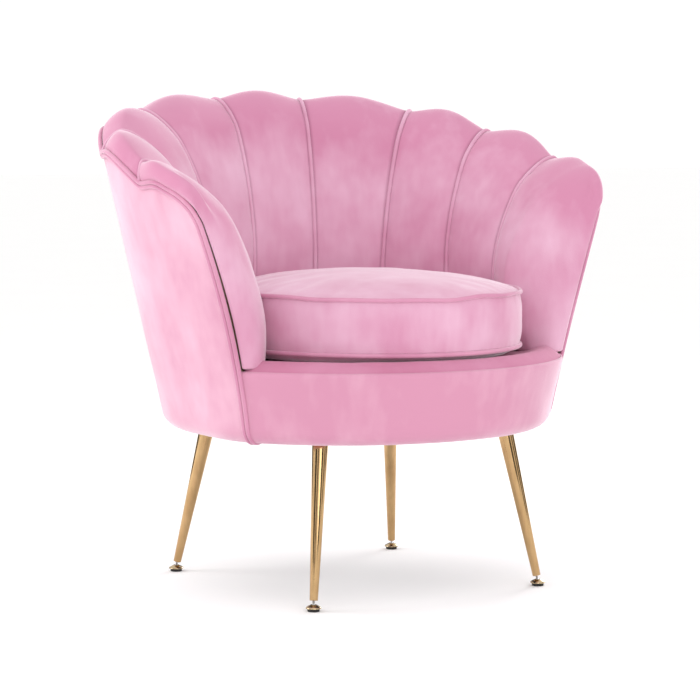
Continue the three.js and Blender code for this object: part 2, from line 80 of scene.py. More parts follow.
def around(azimuth, elevation, distance, target):
    """A place that looks at the target from an azimuth, where 0 is in front of the chair."""
    level = distance * math.cos(elevation)
    out = Vector((level * math.sin(azimuth), -level * math.cos(azimuth), distance * math.sin(elevation)))
    return target + out


def aim(thing, place, target):
    thing.location = place
    thing.rotation_euler = (target - place).to_track_quat("-Z", "Y").to_euler()


camera = bpy.data.objects.new("camera", bpy.data.cameras.new("camera"))
camera.data.lens = LENS
scene.collection.objects.link(camera)
aim(camera, around(VIEW_AZIMUTH, VIEW_ELEVATION, VIEW_DISTANCE, VIEW_TARGET), VIEW_TARGET)
scene.camera = camera
scene.view_settings.view_transform = "Standard"

ROOM_WHITE = (1.0, 0.995, 0.99, 1)
ROOM_STRENGTH = 1.05
LAMP_TARGET = Vector((0, 0, 0.4))

world = bpy.data.worlds.new("white_room")
world.use_nodes = True
world.node_tree.nodes["Background"].inputs["Color"].default_value = ROOM_WHITE
world.node_tree.nodes["Background"].inputs["Strength"].default_value = ROOM_STRENGTH
scene.world = world


def soft_lamp(name, azimuth, elevation, distance, size, watts):
    lamp = bpy.data.objects.new(name, bpy.data.lights.new(name, "AREA"))
    lamp.data.shape = "DISK"
    lamp.data.size = size
    lamp.data.energy = watts
    scene.collection.objects.link(lamp)
    place = around(math.radians(azimuth), math.radians(elevation), distance, LAMP_TARGET)
    aim(lamp, place, LAMP_TARGET)


soft_lamp("front_lamp", -12, 12, 3.4, 2.0, 22)
soft_lamp("left_lamp", -122, 18, 2.8, 1.6, 30)
soft_lamp("right_lamp", 112, 15, 2.8, 1.4, 32)
soft_lamp("overhead_lamp", -20, 72, 2.8, 2.2, 4)

# ---------------------------------------------------------------------------
# Finishes. Every finish is one surface shader with procedural colour,
# roughness and bump, read from the piece's own object coordinates.
# ---------------------------------------------------------------------------

NOISE_ROUGHNESS = 0.55


class Field:
    """A number that varies over a surface. Sums on it add the Math nodes for them."""

    def __init__(self, finish, socket):
        self.finish = finish
        self.socket = socket

    def maths(self, operation, first, second):
        return self.finish.node("ShaderNodeMath", {"operation": operation}, {0: first, 1: second})

    def __add__(self, other):
        return self.maths("ADD", self, other)

    __radd__ = __add__

    def __sub__(self, other):
        return self.maths("SUBTRACT", self, other)

    def __rsub__(self, other):
        return self.maths("SUBTRACT", other, self)

    def __mul__(self, other):
        return self.maths("MULTIPLY", self, other)


class Finish:
    """A material under way: constants go straight on the shader, fields are linked to it."""

    def __init__(self, name, **constants):
        self.material = bpy.data.materials.new(name)
        self.material.use_nodes = True
        self.tree = self.material.node_tree
        self.surface = self.tree.nodes["Principled BSDF"]
        for socket, value in constants.items():
            self.surface.inputs[socket.replace("_", " ")].default_value = value
        self.place = self.node("ShaderNodeTexCoord", {}, {}, "Object")

    def node(self, kind, settings, inputs, output=0):
        node = self.tree.nodes.new(kind)
        for name, value in settings.items():
            setattr(node, name, value)
        for name, value in inputs.items():
            self.put(node.inputs[name], value)
        return Field(self, node.outputs[output])

    def put(self, socket, value):
        if isinstance(value, Field):
            self.tree.links.new(value.socket, socket)
        else:
            socket.default_value = value

    def noise(self, scale, detail=2.0, stretch=(1, 1, 1), turn=(0, 0, 0)):
        """Noise with so many waves to the metre, drawn out where stretch is below 1."""
        spread = {"Vector": self.place, "Scale": stretch, "Rotation": turn}
        mapping = self.node("ShaderNodeMapping", {}, spread)
        inputs = {"Vector": mapping, "Scale": scale, "Detail": detail, "Roughness": NOISE_ROUGHNESS}
        return self.node("ShaderNodeTexNoise", {}, inputs, "Fac")

    def marked(self, name):
        """How strongly a piece's own attribute marks a place, 0 on pieces without it."""
        return self.node("ShaderNodeAttribute", {"attribute_name": name}, {}, "Fac")

    def mix(self, factor, low, high):
        inputs = {"Factor": factor, 6: low, 7: high}
        return self.node("ShaderNodeMix", {"data_type": "RGBA", "clamp_factor": True}, inputs, 2)

    def colour(self, value):
        self.put(self.surface.inputs["Base Color"], value)

    def roughness(self, value):
        self.put(self.surface.inputs["Roughness"], value)

    def bump(self, height, depth, strength=1.0):
        inputs = {"Height": height, "Distance": depth, "Strength": strength}
        self.put(self.surface.inputs["Normal"], self.node("ShaderNodeBump", {}, inputs))


SEAM_SHADE = (0.22, 0.075, 0.13, 1)
SHEEN_TINT = (1.0, 0.94, 0.98, 1)


def velvet(name, deep, light, sheen=1.0, painted_crest_shade=0.0):
    """
    Cut-pile velvet: pale at grazing angles, with patches where the pile lies over. The crest
    attribute marks painted shade, which darkens the colour towards the deep pink, and seam the painted
    shade of a seam's crease.
    """
    finish = Finish(
        name, Sheen_Weight=sheen, Sheen_Roughness=0.38, Sheen_Tint=SHEEN_TINT, Specular_IOR_Level=0.1
    )
    patches = finish.noise(8, 3.0)
    strokes = finish.noise(38, 2.0, (1, 1, 0.3), (0.5, 0.3, 0))
    pile = finish.noise(900, 2.0)
    nap_and_shade = patches * 1.8 + strokes * 0.7 + pile * 0.25 - 0.84
    # Painted shade: the crest mark darkens the colour over the top of the crest roll and on the apron.
    nap_and_shade = nap_and_shade - finish.marked("crest") * (patches + 0.45) * painted_crest_shade
    finish.colour(finish.mix(finish.marked("seam"), finish.mix(nap_and_shade, deep, light), SEAM_SHADE))
    finish.roughness(0.95 - patches * 0.2)
    finish.bump(pile + strokes * 0.6, 0.0006, 0.35)
    return finish.material


PINK_DEEP = (0.575, 0.235, 0.365, 1)
PINK_LIGHT = (0.72, 0.44, 0.57, 1)
back_velvet = velvet("back_velvet", PINK_DEEP, PINK_LIGHT, 0.9, 0.65)
outside_velvet = velvet("outside_velvet", (0.60, 0.27, 0.39, 1), (0.76, 0.46, 0.57, 1), 0.8, 0.7)
# Painted shade: the deck's velvet is a darker copy of the pink, for the shade it lies in between the arms
# and under the cushion.
shaded_deck_velvet = velvet("shaded_deck_velvet", (0.50, 0.17, 0.28, 1), (0.58, 0.25, 0.375, 1), 0.2)
cushion_velvet = velvet("cushion_velvet", PINK_DEEP, PINK_LIGHT)
# Painted shade: a darker copy of the pink velvet for the welt cords and the cushion's piping.
shaded_welt_velvet = velvet("shaded_welt_velvet", (0.52, 0.20, 0.32, 1), (0.66, 0.32, 0.45, 1), 0.8)


def wear(piece, material):
    piece.data.materials.clear()
    piece.data.materials.append(material)


# ---------------------------------------------------------------------------
# Frame and springs, hidden inside: bent plywood panels, the base board and
# spring ring, zigzag springs in clip rails, the deck foam and the dust cover.
# ---------------------------------------------------------------------------


def plywood():
    finish = Finish("plywood")
    grain = finish.noise(26, 4.0, (0.12, 1, 1))
    pores = finish.noise(500, 2.0, (0.1, 1, 1))
    plies = finish.noise(330, 0.0, (0.02, 0.02, 1))
    finish.colour(finish.mix(grain * 0.8 + plies * 0.4 - 0.1, (0.36, 0.23, 0.12, 1), (0.66, 0.50, 0.31, 1)))
    finish.roughness(0.55 + pores * 0.3)
    finish.bump(pores + grain, 0.0003, 0.4)
    return finish.material


def seat_foam():
    finish = Finish("seat_foam", Roughness=0.95)
    cells = finish.noise(1100, 3.0)
    finish.colour(finish.mix(cells, (0.80, 0.72, 0.50, 1), (0.93, 0.88, 0.72, 1)))
    finish.bump(cells, 0.0008, 0.6)
    return finish.material


def dust_cloth():
    finish = Finish("dust_cloth")
    fibres = finish.noise(700, 3.0, (1, 0.3, 1))
    finish.colour(finish.mix(fibres, (0.008, 0.008, 0.010, 1), (0.035, 0.035, 0.040, 1)))
    finish.roughness(0.8 + fibres * 0.18)
    finish.bump(fibres, 0.0003, 0.5)
    return finish.material


def metal(name, dark, bright, rough, scratch=0.1, stretch=(1, 1, 0.05)):
    finish = Finish(name, Metallic=1.0)
    brush = finish.noise(300, 2.0, stretch)
    cloud = finish.noise(30, 2.0)
    finish.colour(finish.mix(cloud * 0.6 + brush * 0.4, dark, bright))
    finish.roughness(rough + cloud * scratch)
    finish.bump(brush, 0.00004, 0.2)
    return finish.material


def moulded_plastic():
    finish = Finish("clip_plastic")
    grain = finish.noise(800, 2.0)
    finish.colour(finish.mix(grain, (0.72, 0.71, 0.66, 1), (0.83, 0.82, 0.78, 1)))
    finish.roughness(0.4 + grain * 0.15)
    finish.bump(grain, 0.0001, 0.4)
    return finish.material


hidden_finishes = {
    "plywood": plywood(),
    "foam": seat_foam(),
    "dust_cloth": dust_cloth(),
    "spring_steel": metal("spring_steel", (0.20, 0.20, 0.21, 1), (0.42, 0.42, 0.44, 1), 0.3),
    "clip_plastic": moulded_plastic(),
    "zinc_steel": metal("zinc_steel", (0.50, 0.51, 0.53, 1), (0.66, 0.67, 0.70, 1), 0.28, 0.15, (1, 1, 1)),
}
for subpart in frame["record"]["subparts"]:
    if subpart["material_slot"] in hidden_finishes:
        wear(frame["nodes"][subpart["node"]], hidden_finishes[subpart["material_slot"]])

# ---------------------------------------------------------------------------
# Outer cover: velvet on thin wadding over the bent panels of the back and
# arms, pulled round the lower edge of the base and stapled under the board.
# ---------------------------------------------------------------------------

# The shell. Angles in degrees start at the back and grow to the right. Lobes number the upright
# channels from the middle of the back, with the seams at the halves and the arm edges at 4.5.
UNDERSIDE_Z = 0.244
FRONT_SEAM_Z = 0.351
BACK_TOP_Z = 0.765
BASE_RADIUS = 0.286
ARM_FRONT_OUT = 0.022
FRONT_OUT = 0.014
BACK_LEAN = 0.085
SIDE_LEAN = 0.258
ARM_FRONT_LEAN = 0.19
ARM_FRONT_CURL = 0.22
SEAM_ANGLES = (16.3, 46.8, 75.6, 100.8)
SEAM_TWISTS = (-2.0, 12.0, -18.3, -40.0)  # degrees for each metre above the seam datum
SEAM_DATUM_Z = 0.480
ARM_END_ANGLE = 118.7
ARM_END_TWIST = 1.35
ARM_END_CURL = -47.75
ARM_LOBE = 4.5
CREST_FALL = 0.0082
CREST_FALL_EASE = 0.000078
SCALLOP_DEPTH = 0.0125
SCALLOP_DEPTH_STEP = 0.0026
ARM_CORNER_DROP = 0.026
ARM_CORNER_WIDTH = 0.3
WELT_DROP = 0.034
PANEL_REACH = 0.017  # from the outer face in to the inner side of the panels, with its gaps

ROLL_RADIUS = 0.021  # of the base's lower edge
TURN_UNDER = 0.020  # how far the velvet runs on under the board
COVER_SKIN = 0.0018
ROLL_ROWS = 9
COVER_ROWS = 26
COVER_RUMPLE_SIZE = 0.09
COVER_RUMPLE = 0.0011
TUCK_HEIGHT = 0.006  # over which an upper edge draws in to its seam


def blend(low, high, t):
    return low + (high - low) * t


def ease(x, low, high):
    """0 below low, 1 above high and a smooth step between them."""
    t = np.clip((x - low) / (high - low), 0, 1)
    return t * t * (3 - 2 * t)


def outer_radius(angle, z):
    """Radius of the chair's outer face: an oval that widens with height, with fuller arm fronts."""
    a = np.abs((np.asarray(angle) + 180) % 360 - 180)
    height = z - UNDERSIDE_Z
    back = BASE_RADIUS + BACK_LEAN * height
    side = BASE_RADIUS + SIDE_LEAN * height
    oval = 1 / np.hypot(np.sin(np.radians(a)) / side, np.cos(np.radians(a)) / back)
    arm_front = BASE_RADIUS + ARM_FRONT_OUT + ARM_FRONT_LEAN * height + ARM_FRONT_CURL * height**2
    front = BASE_RADIUS + FRONT_OUT + SIDE_LEAN * height
    forwards = blend(arm_front, front, ease(a, ARM_END_ANGLE, 180))
    return blend(oval, forwards, ease(a, 90, ARM_END_ANGLE))


def arm_edge_angle(z):
    height = z - UNDERSIDE_Z
    return ARM_END_ANGLE + ARM_END_TWIST * height + ARM_END_CURL * height**2


def lobe_angle(lobe, z):
    """Angle of a place across the channels, at a height."""
    lobe, z = np.broadcast_arrays(np.asarray(lobe, float), np.asarray(z, float))
    seams = [angle + twist * (z - SEAM_DATUM_Z) for angle, twist in zip(SEAM_ANGLES, SEAM_TWISTS)]
    stops = np.stack([-seams[0], *seams, arm_edge_angle(z)])
    place = np.abs(lobe) + 0.5
    index = np.minimum(np.floor(place).astype(int), len(stops) - 2)
    low = np.take_along_axis(stops, index[None], 0)[0]
    high = np.take_along_axis(stops, index[None] + 1, 0)[0]
    return np.sign(lobe) * blend(low, high, place - index)


def crest_z(lobe):
    """Height of the scalloped crest."""
    place = np.abs(lobe)
    envelope = BACK_TOP_Z - CREST_FALL * place**2 + CREST_FALL_EASE * place**4
    across = 2 * (place - np.round(place))
    dip = (across**2 + (1 - np.cos(math.pi * across)) / 2) / 2
    scallop = (SCALLOP_DEPTH + SCALLOP_DEPTH_STEP * place) * dip
    corner = np.clip((place - ARM_LOBE + ARM_CORNER_WIDTH) / ARM_CORNER_WIDTH, 0, 1)
    corner_drop = ARM_CORNER_DROP * (1 - np.sqrt(1 - corner**2))
    return envelope - np.where(place > len(SEAM_ANGLES), corner_drop, scallop)


def polar(angle, radius, z):
    a = np.radians(angle)
    return np.stack([radius * np.sin(a), radius * np.cos(a), z + 0 * radius], -1)


def straight_out(points):
    """The level direction away from the chair's middle at each point."""
    level = points * (1, 1, 0)
    return level / np.linalg.norm(level, axis=-1, keepdims=True)


def rumple(points, size, height, seed):
    """Small smooth unevenness at points, as wide as size and up to about height."""
    shift = Vector((seed * 3.7, seed * 1.3, seed * 2.1))
    waves = [noise.noise(Vector(p) / size + shift) for p in points.reshape(-1, 3)]
    return height * np.array(waves).reshape(points.shape[:-1])


def lower_edge(rows):
    """Section of the base's rolled lower edge: distance in from the face, and height."""
    turn = np.radians(np.linspace(-90, 0, rows))
    inset = ROLL_RADIUS * (1 - np.cos(turn))
    rise = ROLL_RADIUS * (1 + np.sin(turn))
    under = [(ROLL_RADIUS + TURN_UNDER, 0.0062), (ROLL_RADIUS + TURN_UNDER / 2, 0.0018)]
    return [(i, UNDERSIDE_Z + h) for i, h in [*under, *zip(inset, rise)]]


def grid_piece(name, points, material):
    """A mesh sheet through a grid of points, rows by columns."""
    rows, columns = points.shape[:2]
    corners = np.arange(rows * columns).reshape(rows, columns)
    faces = np.stack([corners[:-1, :-1], corners[:-1, 1:], corners[1:, 1:], corners[1:, :-1]], -1)
    mesh = bpy.data.meshes.new(name)
    mesh.from_pydata(points.reshape(-1, 3).tolist(), [], faces.reshape(-1, 4).tolist())
    piece = bpy.data.objects.new(name, mesh)
    scene.collection.objects.link(piece)
    wear(piece, material)
    return piece


def mark(piece, name, values):
    """Keeps a value for each vertex under a name that the finishes read."""
    marks = piece.data.attributes.new(name, "FLOAT", "POINT")
    marks.data.foreach_set("value", np.broadcast_to(values, len(piece.data.vertices)).astype(np.float32))


def only(piece):
    """Makes a piece the one that is selected and active, in object mode."""
    for other in scene.objects:
        other.select_set(False)
    piece.select_set(True)
    bpy.context.view_layer.objects.active = piece


def finish_mesh(piece):
    """Merges doubled corners, turns the faces outwards and shades them smooth."""
    only(piece)
    bpy.ops.object.mode_set(mode="EDIT")
    bpy.ops.mesh.select_all(action="SELECT")
    bpy.ops.mesh.remove_doubles(threshold=0.00002)
    bpy.ops.mesh.normals_make_consistent(inside=False)
    bpy.ops.object.mode_set(mode="OBJECT")
    bpy.ops.object.shade_smooth()
    return piece


def thicken(piece, thickness):
    """Gives a sheet its thickness, towards the side its faces turn away from."""
    only(piece)
    wall = piece.modifiers.new("wall", "SOLIDIFY")
    wall.thickness = thickness
    wall.offset = -1
    bpy.ops.object.modifier_apply(modifier=wall.name)
    bpy.ops.object.shade_smooth()


def soften(piece):
    """Rounds a piece by one level of subdivision."""
    only(piece)
    smooth = piece.modifiers.new("smooth", "SUBSURF")
    smooth.levels = 1
    bpy.ops.object.modifier_apply(modifier=smooth.name)
    bpy.ops.object.shade_smooth()


def base_skin(name, angle_at, top_at, columns, material, upper_edge=0.0):
    """Velvet from under the board up round the base. angle_at and top_at take the place 0..1 across."""
    rolled = lower_edge(ROLL_ROWS)
    across = np.linspace(0, 1, columns)
    top = top_at(across)
    rows = []
    for inset, z in rolled:
        angle = angle_at(across, z + 0 * across)
        rows.append(polar(angle, outer_radius(angle, z) - inset, z + 0 * across))
    for up in np.linspace(0, 1, COVER_ROWS)[1:]:
        z = blend(rolled[-1][1], top, up)
        angle = angle_at(across, z)
        tuck = upper_edge * np.clip((z - top) / TUCK_HEIGHT + 1, 0, 1) ** 2
        rows.append(polar(angle, outer_radius(angle, z) - tuck, z))
    points = np.stack(rows)
    points += straight_out(points) * rumple(points, COVER_RUMPLE_SIZE, COVER_RUMPLE, 1)[..., None]
    piece = grid_piece(name, points, material)
    thicken(piece, COVER_SKIN)
    return piece


outer_cover = base_skin(
    "outer_cover_velvet",
    lambda across, z: lobe_angle(blend(-ARM_LOBE, ARM_LOBE, across), z),
    lambda across: crest_z(blend(-ARM_LOBE, ARM_LOBE, across)) - WELT_DROP,
    241,
    outside_velvet,
)
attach(outer_cover, "frame")
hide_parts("outer_cover")

# ---------------------------------------------------------------------------
# Front apron and seat deck: velvet over the front rail, sewn at the front
# seam to a deck of velvet on foam that crowns softly in front of the cushion.
# ---------------------------------------------------------------------------

APRON_SHADE = 0.75  # painted shade: share of the deep pink over the whole apron
SEAM_TUCK = 0.003  # of the apron's upper edge into the front seam
EDGE_CLEARANCE = 0.5  # degrees from the arm fronts
DECK_Z = 0.3532
DECK_CROWN = 0.0125
DECK_CROWN_INSET = 0.024  # from the front seam to the top of the crown
DECK_CROWN_END = 0.066
DECK_UNDER_ARM = 0.03  # how far it runs on under the channels


def front_angle(across, z):
    edge = arm_edge_angle(z) + EDGE_CLEARANCE
    return blend(edge, 360 - edge, across)


front_apron = base_skin(
    "front_apron_velvet",
    front_angle,
    lambda across: FRONT_SEAM_Z + 0 * across,
    121,
    outside_velvet,
    SEAM_TUCK,
)
# Painted shade: the whole apron's colour is darkened towards the deep pink.
mark(front_apron, "crest", APRON_SHADE)
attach(front_apron, "frame")
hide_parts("front_apron")

INNER_LEAN = -0.194
INNER_LEAN_SIDE = -0.068
INNER_CURL = 0.768
INNER_CURL_SIDE = 0.54
INNER_RADIUS_SIDE = 0.014
INNER_DATUM_Z = 0.360
BACK_THICKNESS = 0.068


def inner_radius(angle, z):
    """Radius of the padding's inside face, along the seams."""
    side = np.radians(angle) ** 2
    height = z - INNER_DATUM_Z
    radius = BASE_RADIUS - BACK_THICKNESS + INNER_RADIUS_SIDE * side
    lean = INNER_LEAN + INNER_LEAN_SIDE * side
    return radius + lean * height + (INNER_CURL + INNER_CURL_SIDE * side) * height**2


def seat_deck():
    angles = np.linspace(-180, 180, 181)
    shares = 1 - np.linspace(1, 0, 60) ** 2
    in_front = ease(np.abs(angles), ARM_END_ANGLE - 1, ARM_END_ANGLE + 1.5)
    under_arm = inner_radius(np.minimum(np.abs(angles), ARM_END_ANGLE), DECK_Z) + DECK_UNDER_ARM
    rim = blend(under_arm, outer_radius(angles, FRONT_SEAM_Z) - SEAM_TUCK, in_front)
    rows = []
    for share in shares:
        radius = rim * share
        inset = rim - radius
        rise = np.sin(np.clip(inset / DECK_CROWN_INSET, 0, 1) * math.pi / 2)
        front = blend(FRONT_SEAM_Z - DECK_Z, DECK_CROWN, rise)
        fall = ease(inset, DECK_CROWN_INSET, DECK_CROWN_END)
        rows.append(polar(angles, radius, DECK_Z + in_front * blend(front, 0, fall)))
    points = np.stack(rows)
    points[..., 2] += rumple(points, 0.05, 0.0008, 2)
    return finish_mesh(grid_piece("seat_deck_velvet", points, shaded_deck_velvet))


deck = seat_deck()
thicken(deck, COVER_SKIN)
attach(deck, "frame")
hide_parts("deck_cover")

# ---------------------------------------------------------------------------
# Back channels: nine upright pads of foam and wadding in velvet, sewn to one
# another along piped seams and rolled over the top of the panels to the welt.
# ---------------------------------------------------------------------------

CHANNELS = 9
CHANNEL_FLOOR_Z = 0.3545
PAD_STEPS = {"across": 36, "through": 20, "up": 60}
CREST_ROLL_INSIDE = 0.058  # height of the roll on the sitter's side
ARM_ROLL_INSIDE = 0.62  # of half a channel's width, round the front inner edge of an arm
ARM_ROLL_AT_SEAT = 0.42  # the same, down beside the cushion
ARM_ROLL_OUTSIDE = 0.10
ARM_FRONT_LEAD = 0.0060  # of the pad in front of the panel's end
ARM_FRONT_BULGE = 0.0085  # of the front face, in front of its edges
ARM_SEAT_BULGE = 0.0100  # more of it, down beside the cushion
ARM_INNER_BULGE = 0.0090  # towards the sitter, in front of the cushion's widest place
PAD_CROWN = 0.0115  # how far a pad stands out between its seams
PAD_CROWN_BY_CUSHION = 0.004  # where the cushion presses against it
CREST_ROLL_FULLNESS = 1.5  # of the roll's outer half: 2 is round, and 1 is straight
CREST_PROUD = 0.0028  # how far the roll stands out over the welt
ARM_CREST_PROUD = 0.0055
ARM_END_PROUD = 0.0028  # at the arm fronts, where the pad closes against the welt
SEAM_CLEARANCE = 0.0015  # of a channel's width
CREST_SHADE_FROM = 0.66  # height from which painted shade darkens the roll over the crest
SEAM_SHADE_FROM = 0.90  # share of half a channel's width from which its seam shades it
SEAM_DARKNESS = 0.85
PUCKER_REACH = 0.016  # of the small gathers beside a seam
PUCKER_HEIGHT = 0.0016
CHANNEL_HALF_WIDTH = 0.085
ARM_HALF_WIDTH = 0.051


def rounding(power, *depths):
    """Pulls corners of a block in onto round edges. Each depth is 0 on the flat and 1 at the outside."""
    stack = np.stack(depths)
    length = (stack**power).sum(0) ** (1 / power)
    return np.where(length > 0, stack.max(0) / np.maximum(length, 1e-9), 1)


def channel_place(lobe, across, through, up):
    """
    Where a place in a channel's pad is on the chair. Across is -1..1 between its seams, through
    is 0 at the sitter's side and 1 at the outside, and up is 0 at the deck and 1 at the crest.
    """
    on_arm = abs(lobe) == len(SEAM_ANGLES)
    side = math.copysign(1, lobe)
    forwards = across * side if on_arm else -np.ones_like(across)

    # The roll over the crest, and round the front edge of an arm
    rough_lobe = lobe + across / 2
    rough_angle = np.abs(lobe_angle(rough_lobe, BACK_TOP_Z - 0.1))
    peak = blend(0.44, 0.74, ease(rough_angle, 60, 108))
    height = crest_z(rough_lobe) - CHANNEL_FLOOR_Z
    inside = through < peak
    reach_y = np.where(inside, peak, 1 - peak)
    reach_z = np.where(inside, CREST_ROLL_INSIDE, WELT_DROP) / height
    beside_seat = 1 - ease(up, 0.2, 0.65)
    reach_x = np.where(inside, blend(ARM_ROLL_INSIDE, ARM_ROLL_AT_SEAT, beside_seat), ARM_ROLL_OUTSIDE)
    depth_y = np.abs(through - peak) / reach_y
    depth_z = np.clip((up - 1 + reach_z) / reach_z, 0, 1)
    depth_x = np.clip((forwards - 1 + reach_x) / reach_x, 0, 1)
    power = 2.0 if on_arm else np.where(inside, 2.0, CREST_ROLL_FULLNESS)
    to_welt = ease(through, peak, (1 + peak) / 2)
    all_round = rounding(power, depth_x, depth_y, depth_z)
    pull = blend(all_round, rounding(power, depth_y, depth_z), to_welt)
    rolled = blend(np.maximum(depth_z, depth_x), depth_z, to_welt) > 0
    through = peak + (through - peak) * np.where(rolled, pull, 1)
    up = np.where(depth_z > 0, 1 - reach_z + depth_z * pull * reach_z, up)
    pull_back = blend(all_round, 1, to_welt)
    forwards = np.where(depth_x > 0, 1 - reach_x + depth_x * pull_back * reach_x, forwards)
    across = side * forwards if on_arm else across

    # The place on the shell
    place = lobe + across / 2 * (1 - SEAM_CLEARANCE)
    held = np.clip(place, -ARM_LOBE, ARM_LOBE)
    z = blend(CHANNEL_FLOOR_Z, crest_z(held), up)
    angle = lobe_angle(place, z)
    if on_arm:
        bulge = np.sin(math.pi * np.clip(through, 0, 1) ** 1.3) ** 0.7
        lead = ARM_FRONT_LEAD + (ARM_FRONT_BULGE + ARM_SEAT_BULGE * beside_seat) * bulge
        angle += side * np.degrees(lead * ease(forwards, 0.3, 1) / inner_radius(ARM_END_ANGLE, z))
    seam_side = np.minimum(np.abs(across), 1) if not on_arm else np.clip(-across * side, 0, 1)
    fullness = 1 - 0.78 * seam_side**2.6 - 0.22 * seam_side**16
    crown = blend(PAD_CROWN_BY_CUSHION, PAD_CROWN, ease(z, 0.43, 0.53)) * fullness
    if on_arm:
        crown += ARM_INNER_BULGE * beside_seat * ease(np.abs(angle), 102, 115)
    welt_z = crest_z(held) - WELT_DROP
    over_edge = np.maximum(ease(z, welt_z - 0.006, welt_z), ease(np.abs(place), ARM_LOBE - 0.05, ARM_LOBE))
    proud = (ARM_CREST_PROUD if on_arm else CREST_PROUD) * fullness * ease(z, welt_z, welt_z + 0.012)
    proud = np.maximum(proud, ARM_END_PROUD * ease(np.abs(place), ARM_LOBE - 0.05, ARM_LOBE))
    outside = outer_radius(angle, z) + proud - PANEL_REACH * (1 - over_edge)
    sitter = inner_radius(angle, z) - crown
    radius = blend(sitter, np.maximum(outside, sitter + 0.006), through)
    return polar(angle, radius, z)


def gathers(points, across, on_arm, side, seed):
    """Small folds where the velvet is drawn to the seams, fading away from them."""
    from_seam = (1 - np.abs(across)) * CHANNEL_HALF_WIDTH
    if on_arm:
        from_seam = (1 + across * side) * ARM_HALF_WIDTH
    drawn = np.exp(-from_seam / PUCKER_REACH)
    fine = rumple(points * (0.35, 0.35, 1), 0.009, PUCKER_HEIGHT, seed)
    broad = rumple(points * (0.6, 0.6, 1.4), 0.055, 0.0016, seed + 20)
    return fine * drawn + broad


def block(name, steps):
    """A block from -1 to 1 each way, with its edges divided into steps."""
    for other in scene.objects:
        other.select_set(False)
    bpy.ops.mesh.primitive_cube_add(size=2)
    piece = bpy.context.object
    piece.name = name
    scene.tool_settings.mesh_select_mode = (False, True, False)
    for axis, count in enumerate(steps):
        mesh = piece.data
        mesh.vertices.foreach_set("select", [False] * len(mesh.vertices))
        mesh.polygons.foreach_set("select", [False] * len(mesh.polygons))
        for edge in mesh.edges:
            along = mesh.vertices[edge.vertices[0]].co - mesh.vertices[edge.vertices[1]].co
            edge.select = abs(along[axis]) > 0.9 * along.length
        bpy.ops.object.mode_set(mode="EDIT")
        bpy.ops.mesh.subdivide(number_cuts=count - 1)
        bpy.ops.object.mode_set(mode="OBJECT")
    return piece


def read_points(mesh):
    points = np.empty(len(mesh.vertices) * 3)
    mesh.vertices.foreach_get("co", points)
    return points.reshape(-1, 3)


def write_points(mesh, points):
    mesh.vertices.foreach_set("co", np.ascontiguousarray(points, dtype=np.float32).ravel())
    mesh.update()


pad_block = block("pad_block", (PAD_STEPS["across"], PAD_STEPS["through"], PAD_STEPS["up"]))
flat_pad = read_points(pad_block.data)

for number in range(1, CHANNELS + 1):
    lobe = number - 1 - len(SEAM_ANGLES)
    name = f"back_channel_{number}"
    pad = bpy.data.objects.new(f"{name}_pad", pad_block.data.copy())
    scene.collection.objects.link(pad)
    across = flat_pad[:, 0]
    through = (flat_pad[:, 1] + 1) / 2
    points = channel_place(lobe, across, through, (flat_pad[:, 2] + 1) / 2)
    folds = gathers(points, across, abs(lobe) == len(SEAM_ANGLES), math.copysign(1, lobe), number)
    points -= straight_out(points) * (folds * (1 - through) * (through < 0.9))[:, None]
    write_points(pad.data, points)
    # Painted shade: crest darkens the top of the roll, and seam the creases beside the seams.
    mark(pad, "crest", ease((flat_pad[:, 2] + 1) / 2, CREST_SHADE_FROM, 1))
    sewn_side = np.abs(across) if abs(lobe) < len(SEAM_ANGLES) else -across * math.copysign(1, lobe)
    mark(pad, "seam", SEAM_DARKNESS * ease(sewn_side, SEAM_SHADE_FROM, 1))
    wear(pad, back_velvet)
    finish_mesh(pad)
    soften(pad)
    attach(pad, "frame")
    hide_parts(name)
bpy.data.objects.remove(pad_block)

# ---------------------------------------------------------------------------
# Channel piping: a velvet-covered cord sewn into each of the eight seams,
# from the deck up the sitter's side, over the crest and down to the welt.
# ---------------------------------------------------------------------------

PIPING_RADIUS = 0.0034
PIPING_LIFT = 0.0012  # out of the bottom of the seam


def cord_piece(name, points, radius, material, closed=False):
    """A round covered cord along points."""
    curve = bpy.data.curves.new(name, "CURVE")
    curve.dimensions = "3D"
    curve.bevel_depth = radius
    curve.bevel_resolution = 3
    curve.use_fill_caps = True
    spline = curve.splines.new("POLY")
    spline.points.add(len(points) - 1)
    spline.points.foreach_set("co", np.column_stack([points, np.ones(len(points))]).ravel())
    spline.use_cyclic_u = closed
    piece = bpy.data.objects.new(name, curve)
    scene.collection.objects.link(piece)
    only(piece)
    bpy.ops.object.convert(target="MESH")
    piece = bpy.context.object
    wear(piece, material)
    return finish_mesh(piece)


def seam_path(seam):
    """Along a seam: up the sitter's side, over the crest and down to the welt."""
    lobe = math.floor(abs(seam)) * math.copysign(1, seam)
    across_seam = math.copysign(1, seam)
    up = np.concatenate([np.linspace(0.0, 1, 90), np.ones(30), np.linspace(1, 0.90, 10)[1:]])
    through = np.concatenate([np.zeros(90), np.linspace(0, 1, 30), np.ones(9)])
    path = channel_place(lobe, np.full(len(up), across_seam), through, up)
    welt_z = crest_z(seam) - WELT_DROP
    path += straight_out(path) * ((2 * through - 1) * PIPING_LIFT)[:, None]
    path[:, 2] += PIPING_LIFT * np.sin(math.pi * through)
    keep = (through < 1) | (path[:, 2] > welt_z)
    return path[keep]


for seam in np.arange(-3.5, 4):
    number = int(seam + ARM_LOBE)
    piping = cord_piece(f"channel_piping_{number}", seam_path(seam), PIPING_RADIUS, back_velvet)
    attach(piping, "frame")

# ---------------------------------------------------------------------------
# Double welt: two covered cords side by side, glued over the staples where
# the channels meet the outer cover, up one arm front, over and down the other.
# ---------------------------------------------------------------------------

WELT_CORD_RADIUS = 0.0033
WELT_SINK = 0.0008


